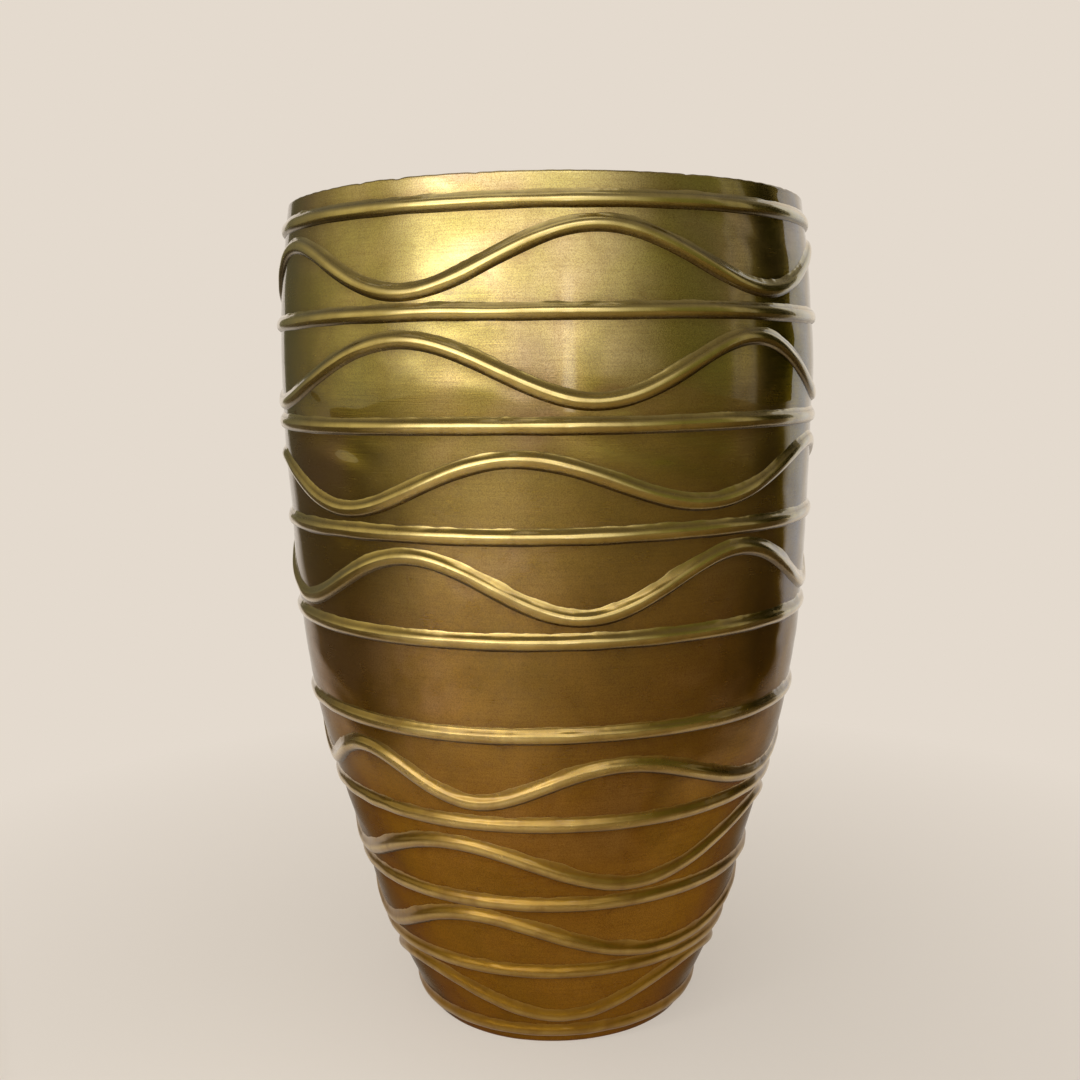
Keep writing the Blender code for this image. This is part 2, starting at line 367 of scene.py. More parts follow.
def makeWireBrass(name, look):
    material, tree, shader = newMaterial(name)
    place, share = heightShare(tree)
    shadeAndWax = addNode(tree, "ShaderNodeAttribute", attribute_name="shadeAndWax").outputs["Fac"]
    glintAndWear = addNode(tree, "ShaderNodeAttribute", attribute_name="glintAndWear").outputs["Fac"]

    smudge = addNode(tree, "ShaderNodeTexNoise", {"Vector": place, "Scale": 1 / look["smudgeSize"],
                     "Detail": 5.0, "Roughness": 0.6, "Distortion": 0.6}).outputs["Fac"]
    speck = addNode(tree, "ShaderNodeTexNoise", {"Vector": place, "Scale": 1 / look["speckSize"],
                    "Detail": 3.0, "Roughness": 0.6}).outputs["Fac"]
    # the height tone: painted shade, darker towards the foot
    tone = addNode(tree, "ShaderNodeValToRGB", {0: share}, look["tones"]).outputs[0]
    smudgeShare = addNode(tree, "ShaderNodeMapRange", {"Value": smudge, "From Min": 0.42, "From Max": 0.70,
                          "To Max": 0.8}).outputs[0]
    colour = addNode(tree, "ShaderNodeMix", {0: smudgeShare, 6: tone, 7: toLinear(look["smudge"])},
                     data_type="RGBA", blend_type="MULTIPLY").outputs[2]

    # the crown is rubbed bright unevenly, with a painted highlight over it and on the solder's upper edge,
    # both painted weaker towards the foot as shade
    glintAndWearShare = addNode(tree, "ShaderNodeMapRange", {"Value": smudge, "From Min": 0.35, "From Max": 0.65,
                     "To Min": 1.0, "To Max": 0.45}).outputs[0]
    glintAndWearByHeight, dull, sprayed = (addNode(tree, "ShaderNodeMapRange", {
        "Value": share, "From Min": look[key][0][0], "From Max": look[key][0][1],
        "To Min": look[key][1][0], "To Max": look[key][1][1]}).outputs[0]
        for key in ("glintAndWearByHeight", "dull", "sprayed"))
    for part in (glintAndWear, glintAndWearByHeight):
        glintAndWearShare = addNode(tree, "ShaderNodeMath", {0: glintAndWearShare, 1: part}, operation="MULTIPLY").outputs[0]
    colour = addNode(tree, "ShaderNodeMix", {0: glintAndWearShare, 6: colour, 7: toLinear(look["glintAndWearTone"])},
                     data_type="RGBA").outputs[2]

    # dark wax stays in the corners, with painted shade under the wire and on its lower half and a painted
    # dark reflection on its upper flank, broken up by the grit of the solder
    gritty = addNode(tree, "ShaderNodeMath", {0: speck, 1: 0.4, 2: shadeAndWax},
                     operation="MULTIPLY_ADD").outputs[0]
    shadeAndWaxShare = addNode(tree, "ShaderNodeMapRange", {"Value": gritty, "From Min": 0.55,
                        "From Max": 1.20}).outputs[0]
    colour = addNode(tree, "ShaderNodeMix", {0: shadeAndWaxShare, 6: colour, 7: toLinear(look["shadeAndWax"])},
                     data_type="RGBA").outputs[2]

    low, high = look["roughness"]
    rough = addNode(tree, "ShaderNodeMapRange", {"Value": smudge, "From Min": 0.3, "From Max": 0.7,
                    "To Min": low, "To Max": high}).outputs[0]
    rough = addNode(tree, "ShaderNodeMath", {0: shadeAndWax, 1: look["creviceDull"], 2: rough},
                    operation="MULTIPLY_ADD").outputs[0]
    rough = addNode(tree, "ShaderNodeMath", {0: rough, 1: dull}, operation="ADD").outputs[0]
    relief = addNode(tree, "ShaderNodeMath", {0: smudge, 1: 1.5, 2: speck},
                     operation="MULTIPLY_ADD").outputs[0]
    strength, depth = look["bump"]
    bump = addNode(tree, "ShaderNodeBump", {"Height": relief, "Strength": strength,
                   "Distance": depth}).outputs[0]
    # the wax lies over the lacquer, so the corners don't shine, and neither does the painted shade
    shine = addNode(tree, "ShaderNodeMath", {0: shadeAndWaxShare, 1: -look["waxCover"], 2: 1.0},
                    operation="MULTIPLY_ADD").outputs[0]
    shine = addNode(tree, "ShaderNodeMath", {0: shine, 1: sprayed}, operation="MULTIPLY").outputs[0]
    feedShader(tree, shader, {"Base Color": colour, "Roughness": rough, "Normal": bump,
                              "Coat Weight": shine})
    shader.inputs["Coat Roughness"].default_value = look["coatRoughness"]
    shader.inputs["Coat IOR"].default_value = look["coatIor"]
    return material


sheetBrass = makeSheetBrass("antiqued lacquered sheet brass", bodyLook)
wireBrass = makeWireBrass("rubbed half-round brass wire", wireLook)
print("materials made")

# wires

wireShape = {
    "width": 0.0092,
    "rise": 0.0032,
    "stations": 720,
    "solderAbove": 0.0017,  # usual width of the solder above the wire
    "solderBelow": 0.0004,
    "steepSolder": 0.0016,  # more solder runs along the steep parts of a wave
    "softSolder": ((0.20, 0.42), (1.0, 0.0)),   # towards the foot it was filed to a wide soft shoulder
    "softWidth": 0.7,       # and this much wider
    "edge": 0.00012,        # raised edge of the solder
    "fillet": 0.0016,       # height of the solder at the wire
    "skirt": 0.0003,        # the solder's edges run on this far, just under the sheet's face
    "sink": 0.0002,
    "back": 0.0004,         # the wire's back lies this far under the face
    "grit": 0.000014,
    "leastAbove": 0.0004,   # the solder above is nowhere narrower
    "blobs": 5,
    "blobSpread": (0.0004, 0.0012),             # what a blob adds to the solder's width
    "blobLength": (0.003, 0.008),
    "jointTurn": 0.3,       # the wire's own joint lies this near the back, in radians
    "jointDip": (0.0004, 0.0012),               # how deep it was filed down, and over what length
    "jointSwell": (0.0004, 0.0030),             # how much wider it is, and over what length
    "ringWander": 0.0005,   # rings were sprung on by hand, so each wanders a little
    "upperShadeAndWax": ((0.24, 0.40), (0.12, 1.0)),         # the wax and painted shade above the wires, and the painted highlight on the solder, are weaker towards the foot
}

# band below ring, waves, crest, sway, sway place, tilt, gap at crest, gap at trough, as in the CAD source
waveTable = (
    (1, 5, 12.8, 20.0, -111.0, 0.0013, 0.0056, 0.0045),
    (2, 4, -45.2, 75.0, 38.0, 0.0003, 0.0068, 0.0053),
    (3, 5, -2.8, 20.0, -124.0, 0.0032, 0.0109, 0.0071),
    (4, 5, -30.6, 19.0, 20.0, 0.0002, 0.0051, 0.0060),
    (6, 5, 39.4, 120.0, -79.0, -0.0028, 0.0133, 0.0055),
    (7, 4, -23.9, 9.0, -162.0, 0.0021, 0.0081, 0.0036),
    (8, 3, -2.3, 71.0, -80.0, -0.0005, 0.0035, 0.0014),
    (9, 3, -61.2, 28.0, 21.0, 0.0013, 0.0020, 0.0057),
)


def waveHeight(row, angle):
    above, waves, crestAt, sway, swayAt, tilt, crestGap, troughGap = row
    crest = ringZ[above - 1] - wireShape["width"] - crestGap
    trough = ringZ[above] + wireShape["width"] + troughGap
    azimuth = angle + math.pi / 2
    bunch = math.radians(sway) * np.sin(azimuth - math.radians(swayAt))
    phase = waves * (azimuth - math.radians(crestAt)) + bunch
    return (crest + trough) / 2 + (crest - trough) / 2 * np.cos(phase) + tilt * np.sin(azimuth)


def ringHeight(number, angle):
    return ringZ[number - 1] + wireShape["ringWander"] * ripple(angle, 300 + number, 2, 6)


def sweepWire(name, heightOf, seed):
    count = wireShape["stations"]
    angle = np.arange(count) * 2 * math.pi / count
    z = heightOf(angle)
    step = 1e-3
    along = onWall(angle + step, heightOf(angle + step)) - onWall(angle - step, heightOf(angle - step))
    along /= np.linalg.norm(along, axis=1, keepdims=True)
    slope = wallAt(z)[1]
    outward = np.stack([np.cos(angle), np.sin(angle), -slope], axis=1) / np.hypot(1, slope)[:, None]
    across = np.cross(outward, along)
    centre = onWall(angle, z)
    radius = np.hypot(centre[:, 0], centre[:, 1])

    rng = np.random.default_rng(seed)
    half = wireShape["width"] / 2 * (1 + 0.04 * ripple(angle, seed + 1, 3, 30))
    rise = wireShape["rise"] * (0.95 + 0.05 * ripple(angle, seed + 2, 4, 40))
    above = wireShape["solderAbove"] * (1 + 0.22 * ripple(angle, seed + 3, 6, 60)
                                        + 0.08 * ripple(angle, seed + 7, 80, 230))
    steep = np.abs(along[:, 2]) * (1 + 0.5 * ripple(angle, seed + 4, 6, 30))
    above = above + wireShape["steepSolder"] * steep
    soft = np.interp(z, *wireShape["softSolder"])
    above = above * (1 + wireShape["softWidth"] * soft)
    below = wireShape["solderBelow"] * (1.2 + 0.3 * ripple(angle, seed + 5, 8, 40))
    edge = wireShape["edge"] * (0.95 + 0.35 * ripple(angle, seed + 6, 15, 110)) * (1 - 0.95 * soft)
    for i in range(wireShape["blobs"]):
        turn = rng.uniform(-math.pi, math.pi)
        near = np.angle(np.exp(1j * (angle - turn))) * radius
        spreadBy = rng.uniform(*wireShape["blobSpread"])
        above = above + spreadBy * np.exp(-(near / rng.uniform(*wireShape["blobLength"])) ** 2)
    # the wire's own joint, filed down at the back
    turn = rng.uniform(-wireShape["jointTurn"], wireShape["jointTurn"])
    joint = np.angle(np.exp(1j * (angle - math.pi / 2 - turn))) * radius
    dip, dipLength = wireShape["jointDip"]
    swell, swellLength = wireShape["jointSwell"]
    rise = rise - dip * np.exp(-(joint / dipLength) ** 2)
    half = half + swell * np.exp(-(joint / swellLength) ** 2)
    above = np.maximum(above, wireShape["leastAbove"])
    upperShadeAndWax = np.interp(z, *wireShape["upperShadeAndWax"])

    # rows of the section: place across, height, wax with painted shade, and wear with painted highlight. It
    # runs from the solder's upper edge, hollow up to the wire, over the crown and down to the lower edge,
    # then along the back.
    flat = 0 * edge
    skirt, sink, back = wireShape["skirt"], wireShape["sink"], wireShape["back"]
    # the solder's upper edge carries a painted highlight line
    rows = [(half + above + skirt, flat - sink, 0.4, 0.0), (half + above, 0.4 * edge, 0.1, 0.6)]
    # in the hollow of the solder, wax and a painted dark reflection darken it towards the wire, and a painted
    # highlight lies on its outer part
    for share in (0.88, 0.72, 0.54, 0.36, 0.18):
        reach = half * 0.84 + (above + half * 0.16) * share
        lift = edge + wireShape["fillet"] * (1 - share) ** (1.3 + 0.6 * soft)
        rows.append((reach, lift, (0.10 + 0.45 * (1 - share)) * upperShadeAndWax, max(0.0, 1.8 * share - 0.9) * upperShadeAndWax))
    # on the wire: wax and a painted dark reflection low on the upper flank, wear with a painted highlight
    # just above the crown, and painted shade over the lower half
    for turn in np.linspace(34, 163, 13):
        crown = math.sin(math.radians(turn))
        dark = 0.55 * max((64 - turn) / 30, 0) * upperShadeAndWax if turn < 90 else 0.85 * max(min((turn - 92) / 52, 1), 0)
        glintAndWearAt = math.exp(-((turn - 76) / 20) ** 2)
        rows.append((half * math.cos(math.radians(turn)), rise * crown, dark, glintAndWearAt))
    # under the wire a painted shadow line, then the back under the sheet
    rows += [
        (-half - below * 0.25, flat + 0.00045, 0.85, 0.0),
        (-half - below, flat + 0.00008, 1.0, 0.0),
        (-half - below - skirt, flat - sink, 1.0, 0.0),
        (-half * 0.5, flat - back, 1.0, 0.0),
        (half * 0.5, flat - back, 1.0, 0.0),
    ]
    points, shadeAndWax, glintAndWear = [], [], []
    for i, (u, v, dark, bright) in enumerate(rows):
        spot = centre + across * u[:, None]
        foot = onWall(np.arctan2(spot[:, 1], spot[:, 0]), spot[:, 2])
        if 0 < i < 7:       # the solder alone is gritty
            v = v + wireShape["grit"] * ripple(angle, seed + 20 + i, 40, 240) * (1 - 0.6 * soft)
        points.append(foot + outward * v[:, None])
        shadeAndWax.append(dark + 0 * angle)
        glintAndWear.append(bright + 0 * angle)
    marks = {"shadeAndWax": np.array(shadeAndWax), "glintAndWear": np.array(glintAndWear)}
    return latticeMesh(name, np.array(points), marks)


for number in range(1, len(ringZ) + 1):
    name = f"ringWire{number:02d}"
    mesh = sweepWire(name, lambda angle: ringHeight(number, angle), 1000 + 50 * number)
    addPiece(name, mesh, wireBrass, "ring_wire_brass", f"ring_wire_{number:02d}")
for number, row in enumerate(waveTable, 1):
    name = f"waveWire{number:02d}"
    mesh = sweepWire(name, lambda angle: waveHeight(row, angle), 3000 + 50 * number)
    addPiece(name, mesh, wireBrass, "wave_wire_brass", f"wave_wire_{number:02d}")
print("wires made:", len(ringZ), "rings and", len(waveTable), "waves")

# sheet body

bodyShape = {
    "columns": 480,
    "rowStep": 0.0030,
    "innerStep": 0.0080,
    "rimWander": 0.0007,    # the cut edge of the rim dips this much
    "rimGrain": 0.00015,    # and it is finely uneven
    "haloReach": 0.0035,    # how far from a wire the sheet is darker
    "heatReach": 0.009,     # how far from a ring the heat tinted the inside
    "heatMost": 0.8,
    "lapGap": 0.0003,       # left for the solder of the lap
    "nicks": ((-128, 0.0007, 0.0022), (-119, 0.0009, 0.0030), (-103, 0.0005, 0.0016), (-62, 0.0006, 0.0020),
              (-31, 0.0005, 0.0025), (20, 0.0007, 0.0020), (95, 0.0006, 0.0030), (160, 0.0008, 0.0024)),
}


def rimDrop(angle):
    drop = bodyShape["rimWander"] * (0.5 + 0.5 * ripple(angle, 77, 2, 11))
    drop = drop + bodyShape["rimGrain"] * (1 + ripple(angle, 78, 30, 120))
    for turn, depth, width in bodyShape["nicks"]:
        near = np.angle(np.exp(1j * (angle - math.radians(turn)))) * wallR[-1]
        drop = drop + depth * np.exp(-(near / width) ** 2)
    return drop


def wireHalo(angle, z):
    # 1 beside a wire, fading out over about 8 mm
    gaps = [np.abs(z - level) for level in ringZ]
    for row in waveTable:
        steep = (waveHeight(row, angle + 0.01) - waveHeight(row, angle - 0.01)) / (0.02 * wallAt(z)[0])
        gaps.append(np.abs(z - waveHeight(row, angle)) / np.hypot(1, steep))
    clear = np.maximum(np.min(gaps, axis=0) - wireShape["width"] / 2, 0)
    return np.exp(-(clear / bodyShape["haloReach"]) ** 2)


def turnSheet(name, rows):
    # rows: height, distance in from the outer wall, inside mark
    angle = np.arange(bodyShape["columns"]) * 2 * math.pi / bodyShape["columns"]
    drop = rimDrop(angle)
    points, inside, halo, heat = [], [], [], []
    for z, inset, within in rows:
        lipShare = np.clip((z - ringZ[0]) / potShape["lip"], 0, 1) ** 2
        lowered = z - drop * lipShare
        points.append(onWall(angle, lowered, inset))
        inside.append(within)
        halo.append(wireHalo(angle, lowered))
        ringGap = np.min(np.abs(z - ringZ))
        heat.append(bodyShape["heatMost"] * math.exp(-(ringGap / bodyShape["heatReach"]) ** 2))
    marks = {"inside": np.array(inside)[:, None], "halo": np.array(halo), "heat": np.array(heat)[:, None]}
    return latticeMesh(name, np.array(points), marks)


def spread(top, bottom, step):
    return np.linspace(top, bottom, max(2, int(round((top - bottom) / step)) + 1))


seam = ringZ[potShape["seamRing"] - 1]
gap = bodyShape["lapGap"]
hemFoot = height - potShape["hem"]
edgeR = sheet               # the folded rim is two sheets thick and half round on top
upperRows = []
for t in np.radians(np.linspace(90, 0, 6)):
    upperRows.append((height - edgeR * (1 - math.sin(t)), edgeR * (1 - math.cos(t)), 0.0))
upperRows += [(z, 0.0, 0.0) for z in spread(height - 2 * edgeR, seam, bodyShape["rowStep"])]
upperRows += [(z, sheet, 1.0) for z in spread(seam, hemFoot - 0.0006, -bodyShape["innerStep"])]
upperRows += [(hemFoot - 0.0002, sheet * 1.15, 1.0), (hemFoot, sheet * 1.6, 0.9),
              (hemFoot + 0.0006, sheet * 1.95, 0.7)]
upperRows += [(z, sheet * 2, 0.6) for z in (hemFoot + 0.0015, height - 3 * edgeR, height - 1.6 * edgeR)]
for t in np.radians(np.linspace(0, 72, 5)):
    upperRows.append((height - edgeR * (1 - math.sin(t)), edgeR * (1 + math.cos(t)), 0.4))
upperSheet = turnSheet("upperBodySheet", upperRows)
addPiece("upperBodySheet", upperSheet, sheetBrass, "upper_body_brass", "upper_body_shell")

lapTop = seam + potShape["lap"]
lowerRows = [(lapTop, sheet + gap, 1.0), (seam - gap, sheet + gap, 1.0)]
lowerRows += [(z, 0.0, 0.0) for z in spread(seam - gap, 0.0006, bodyShape["rowStep"])]
lowerRows += [(0.0002, 0.0002, 0.0), (0.0, sheet * 0.5, 0.2), (0.0002, sheet * 0.9, 1.0)]
lowerRows += [(z, sheet, 1.0) for z in spread(0.0010, seam - 0.0040, -bodyShape["innerStep"])]
lowerRows += [(seam - 0.0016, 2 * sheet + gap, 1.0), (lapTop - 0.0003, 2 * sheet + gap, 1.0)]
lowerSheet = turnSheet("lowerBodySheet", lowerRows)
addPiece("lowerBodySheet", lowerSheet, sheetBrass, "lower_body_brass", "lower_body_shell")
print("body sheets made")

# base plate: a flat disc soldered in, with the solder drawn up the wall inside

plateShape = {
    "columns": 240,
    "solder": 0.0050,       # height of the solder up the wall
    "solderWidth": 0.0100,
    "solderWander": 0.0008,
    "wander": 0.0002,       # the plate isn't quite flat
    "topInset": 0.012,      # the flat parts end this far from the wall
    "underInset": 0.003,
    "recess": 0.0003,       # the foot's edge carries the pot, the plate sits just above the floor
}


def makePlate(name):
    count = plateShape["columns"]
    angle = np.arange(count) * 2 * math.pi / count
    reach = wallAt(0.0)[0] - sheet * np.hypot(1, wallAt(0.0)[1])
    thick, recess = potShape["baseSheet"], plateShape["recess"]
    solderHeight, solderWidth = plateShape["solder"], plateShape["solderWidth"]
    profile = [(share * (reach - plateShape["topInset"]), thick, 0.0) for share in np.linspace(0.02, 1, 14)]
    for share in np.linspace(0.1, 1, 7):    # hollow fillet of solder
        climb = solderHeight * (1 - math.sqrt(1 - share ** 2))
        profile.append((reach - solderWidth + solderWidth * share, thick + climb, 1.0))
    profile += [(reach + 0.0002, recess + 0.0006, 1.0), (reach - 0.0008, recess, 0.6)]
    underReach = reach - plateShape["underInset"]
    profile += [(share * underReach, recess, 0.0) for share in np.linspace(1, 0.02, 14)]
    points = []
    for i, (r, z, solder) in enumerate(profile):
        wander = plateShape["wander"] * ripple(angle, 500 + i, 2, 12) if 0 < i < 14 else 0.0
        lift = solder * plateShape["solderWander"] * ripple(angle, 560, 8, 90) if 14 < i < 21 else 0.0
        level = z + wander * r / reach + lift
        if 14 <= i < 21:    # the solder follows the wall outward
            r = r + wallAt(level)[0] - wallAt(0.0)[0]
        points.append(np.stack([r * np.cos(angle), r * np.sin(angle), level + 0 * angle], axis=-1))
    points = np.array(points)
    rows = len(points)
    index = np.arange(rows * count).reshape(rows, count)
    beside = np.roll(index, -1, 1)
    quads = np.stack([index[:-1], index[1:], beside[1:], beside[:-1]], axis=-1).reshape(-1, 4).tolist()
    mesh = bpy.data.meshes.new(name)
    caps = [index[0].tolist(), index[-1][::-1].tolist()]
    mesh.from_pydata(points.reshape(-1, 3).tolist(), [], quads + caps)
    mesh.shade_smooth()
    layer = mesh.attributes.new("solder", "FLOAT", "POINT")
    layer.data.foreach_set("value", np.repeat([row[2] for row in profile], count).astype(np.float32))
    return mesh


# hot-rolled brass plate: bare, dull and spotted, with a greyer run of solder round its edge and
# scuffs from rough ground
plateLook = {
    "tones": ((0.25, "#7A6038"), (0.5, "#98794A"), (0.75, "#B0945E")),
    "scuff": "#B89C62",
    "solder": "#A39472",
    "spotSize": 0.018,
    "scuffWidth": 0.0010,
    "scuffLength": 0.030,
    "roughness": (0.36, 0.62),
    "bump": (0.5, 0.0003),  # strength, and depth in metres
}


def makePlateBrass(name, look):
    material, tree, shader = newMaterial(name)
    place = addNode(tree, "ShaderNodeTexCoord").outputs["Object"]
    solder = addNode(tree, "ShaderNodeAttribute", attribute_name="solder").outputs["Fac"]
    spots = addNode(tree, "ShaderNodeTexNoise", {"Vector": place, "Scale": 1 / look["spotSize"],
                    "Detail": 7.0, "Roughness": 0.62, "Distortion": 1.0}).outputs["Fac"]
    turned = addNode(tree, "ShaderNodeMapping", {"Vector": place, "Rotation": (0.0, 0.0, 0.6), "Scale": (
        1 / look["scuffLength"], 1 / look["scuffWidth"], 1.0)}).outputs[0]
    scuffs = addNode(tree, "ShaderNodeTexNoise", {"Vector": turned, "Scale": 1.0,
                     "Detail": 2.0}).outputs["Fac"]
    tone = addNode(tree, "ShaderNodeValToRGB", {0: spots}, look["tones"]).outputs[0]
    scuffShare = addNode(tree, "ShaderNodeMapRange", {"Value": scuffs, "From Min": 0.60, "From Max": 0.75,
                         "To Max": 0.5}).outputs[0]
    colour = tone
    for part, tint in ((scuffShare, "scuff"), (solder, "solder")):
        colour = addNode(tree, "ShaderNodeMix", {0: part, 6: colour, 7: toLinear(look[tint])},
                         data_type="RGBA").outputs[2]
    low, high = look["roughness"]
    rough = addNode(tree, "ShaderNodeMapRange", {"Value": spots, "From Min": 0.3, "From Max": 0.7,
                    "To Min": low, "To Max": high}).outputs[0]
    relief = addNode(tree, "ShaderNodeMath", {0: scuffs, 1: 0.4, 2: spots},
                     operation="MULTIPLY_ADD").outputs[0]
    strength, depth = look["bump"]
    bump = addNode(tree, "ShaderNodeBump", {"Height": relief, "Strength": strength,
                   "Distance": depth}).outputs[0]
    feedShader(tree, shader, {"Base Color": colour, "Roughness": rough, "Normal": bump})
    return material


plateBrass = makePlateBrass("hot-rolled brass plate", plateLook)
addPiece("basePlate", makePlate("basePlate"), plateBrass, "base_brass", "base_plate")
print("base plate made")

# stage, lamps and camera

stageLook = {
    "paper": "#E4DACE",
    "daylight": "#D8DCE6",          # the paper's far right, out of the picture, is bluer, as under a sky
    # the floor round it by bearing from the front, with painted shade at the sides and a painted pool of
    # light in front on the left
    "ground": ((-180, "#968A72"), (-84, "#80745C"), (-48, "#E4DACE"), (-16, "#E4DACE"),
               (10, "#D8C8AA"), (48, "#C4B088"), (72, "#9C8860"), (92, "#7A6A48"),
               (99, "#68583A"), (115, "#645438"), (121, "#A89A80"), (180, "#968A72")),
    "toothSize": 0.0025,            # real paper tooth is 0.3 mm, drawn coarser so that it shows
    "toothBump": (0.05, 0.0002),    # strength, and depth in metres
    "roughness": 0.9,
    "specular": 0.1,
    "shadowReach": (0.12, 0.8),     # the pot's shadow shows from the foot to about here
    "shadowKeep": 0.60,             # share of the paper's own colour at the foot, the rest takes the shadow
    "frontFade": (-0.30, -0.16),    # the picture's ground begins here in front of the pot
    "sideFade": (0.62, 0.47),       # spread of the picture's ground, sideways for each metre from the lens
    "lensAway": 0.956,
    "wallFade": (0.02, 0.30),       # and it is all of the wall above this height
    "backFade": (2.04, 2.14),       # on the right it is pale further round the back, from this bearing
    "floorReach": 7.0,
    "floorDrop": -0.002,            # the floor round the paper lies just under it
    "wallAt": 1.90,
    "wallSides": (-1.3, 3.1),
    "wallTop": 2.40,
    "cove": 0.45,
}


def makePaper(name, look):
    # matt paper with a faint tooth
    material, tree, shader = newMaterial(name)
    shader.inputs["Metallic"].default_value = 0.0
    shader.inputs["Roughness"].default_value = look["roughness"]
    shader.inputs["Specular IOR Level"].default_value = look["specular"]
    place = addNode(tree, "ShaderNodeTexCoord").outputs["Object"]
    tooth = addNode(tree, "ShaderNodeTexNoise", {"Vector": place,
                    "Scale": 1 / look["toothSize"]}).outputs["Fac"]
    strength, depth = look["toothBump"]
    bump = addNode(tree, "ShaderNodeBump", {"Height": tooth, "Strength": strength,
                   "Distance": depth}).outputs[0]

    axes, bearing, ground = toneByBearing(tree, place, look["ground"])
    aside = addNode(tree, "ShaderNodeMath", {0: axes["X"]}, operation="ABSOLUTE").outputs[0]
    away = addNode(tree, "ShaderNodeMath", {0: axes["Y"], 1: look["lensAway"]}, operation="ADD").outputs[0]
    aside = addNode(tree, "ShaderNodeMath", {0: aside, 1: away}, operation="DIVIDE").outputs[0]
    front, side, wall, back = (addNode(tree, "ShaderNodeMapRange", {
        "Value": value, "From Min": look[fade][0], "From Max": look[fade][1]}).outputs[0]
        for value, fade in ((axes["Y"], "frontFade"), (aside, "sideFade"), (axes["Z"], "wallFade"),
                            (bearing, "backFade")))
    sky = addNode(tree, "ShaderNodeMath", {0: back, 1: side}, operation="SUBTRACT", use_clamp=True).outputs[0]
    pale = addNode(tree, "ShaderNodeMix", {0: sky, 6: toLinear(look["paper"]), 7: toLinear(look["daylight"])},
                   data_type="RGBA").outputs[2]
    for other in (wall, back):
        side = addNode(tree, "ShaderNodeMath", {0: side, 1: other}, operation="MAXIMUM").outputs[0]
    within = addNode(tree, "ShaderNodeMath", {0: front, 1: side}, operation="MULTIPLY").outputs[0]
    tone = addNode(tree, "ShaderNodeMix", {0: within, 6: ground, 7: pale}, data_type="RGBA").outputs[2]
    feedShader(tree, shader, {"Base Color": tone, "Normal": bump})

    # the lens, metal and glass see the paper at its own colour, apart from the pot's shadow
    path = addNode(tree, "ShaderNodeLightPath")
    seen = path.outputs["Is Camera Ray"]
    for key in ("Is Glossy Ray", "Is Transmission Ray"):
        seen = addNode(tree, "ShaderNodeMath", {0: seen, 1: path.outputs[key]},
                       operation="MAXIMUM").outputs[0]
    reach = addNode(tree, "ShaderNodeVectorMath", {0: place}, operation="LENGTH").outputs["Value"]
    plain = addNode(tree, "ShaderNodeMapRange", {"Value": reach, "From Min": look["shadowReach"][0],
                    "From Max": look["shadowReach"][1], "To Min": look["shadowKeep"]}).outputs[0]
    for part in (within, seen):
        plain = addNode(tree, "ShaderNodeMath", {0: plain, 1: part}, operation="MULTIPLY").outputs[0]
    glow = addNode(tree, "ShaderNodeEmission", {"Color": pale, "Strength": 1.0}).outputs[0]
    both = addNode(tree, "ShaderNodeMixShader", {0: plain, 1: shader.outputs[0], 2: glow}).outputs[0]
    tree.links.new(both, tree.nodes["Material Output"].inputs["Surface"])
    return material


def makeStage(look):
    paper = makePaper("matt background paper", look)
    reach, wall, cove = look["floorReach"], look["wallAt"], look["cove"]
    profile = [(-reach, 0.0), (wall - cove, 0.0)]
    for t in np.radians(np.linspace(8, 90, 12)):
        profile.append((wall - cove + cove * math.sin(t), cove * (1 - math.cos(t))))
    profile.append((wall, look["wallTop"]))
    corners = [(x, y, z) for y, z in profile for x in look["wallSides"]]
    faces = [(2 * i, 2 * i + 1, 2 * i + 3, 2 * i + 2) for i in range(len(profile) - 1)]
    mesh = bpy.data.meshes.new("paperSweep")
    mesh.from_pydata(corners, [], faces)
    mesh.shade_smooth()
    sweep = bpy.data.objects.new("paperSweep", mesh)
    mesh = bpy.data.meshes.new("studioFloor")
    corners = [(x * reach, y * reach, look["floorDrop"]) for x, y in ((-1, -1), (1, -1), (1, 1), (-1, 1))]
    mesh.from_pydata(corners, [], [(0, 1, 2, 3)])
    floor = bpy.data.objects.new("studioFloor", mesh)
    for item in (sweep, floor):
        item.data.materials.append(paper)
        bpy.context.scene.collection.objects.link(item)


makeStage(stageLook)

# topSoftbox gives the wires their upper edge; the spots only light the floor, the metal doesn't show them
lamps = {
    "topSoftbox": {"place": (-0.3, -0.2, 2.6), "aim": (0.0, 0.0, 0.0),
                   "size": (1.6, 1.6), "level": 0.5, "shown": True},
    "floorSpot": {"place": (-1.0, -1.7, 2.3), "aim": (-0.74, -1.20, 0.0),
                  "cone": 60, "power": 105.0, "shown": False},
    "farSpot": {"place": (-1.5, -3.3, 3.0), "aim": (-1.5, -2.8, 0.0),
                "cone": 70, "power": 190.0, "shown": False},
    "nearSpot": {"place": (-0.7, -1.1, 1.3), "aim": (-0.21, -0.41, 0.0),
                 "cone": 26, "power": 45.0, "shown": False},
}


def hangLamp(name, setup):
    lamp = bpy.data.lights.new(name, "SPOT" if "cone" in setup else "AREA")
    if "cone" in setup:
        lamp.spot_size = math.radians(setup["cone"])
        lamp.spot_blend = 1.0
        lamp.shadow_soft_size = 0.15
        lamp.energy = setup["power"]
    else:
        lamp.shape = "RECTANGLE"
        lamp.size, lamp.size_y = setup["size"]
        lamp.energy = 4 * setup["level"] * lamp.size * lamp.size_y
    holder = bpy.data.objects.new(name, lamp)
    bpy.context.scene.collection.objects.link(holder)
    holder.location = setup["place"]
    toward = Vector(setup["aim"]) - Vector(setup["place"])
    holder.rotation_mode = "QUATERNION"
    holder.rotation_quaternion = toward.to_track_quat("-Z", "Y")
    holder.visible_camera = False
    holder.visible_glossy = setup["shown"]


for name, setup in lamps.items():
    hangLamp(name, setup)

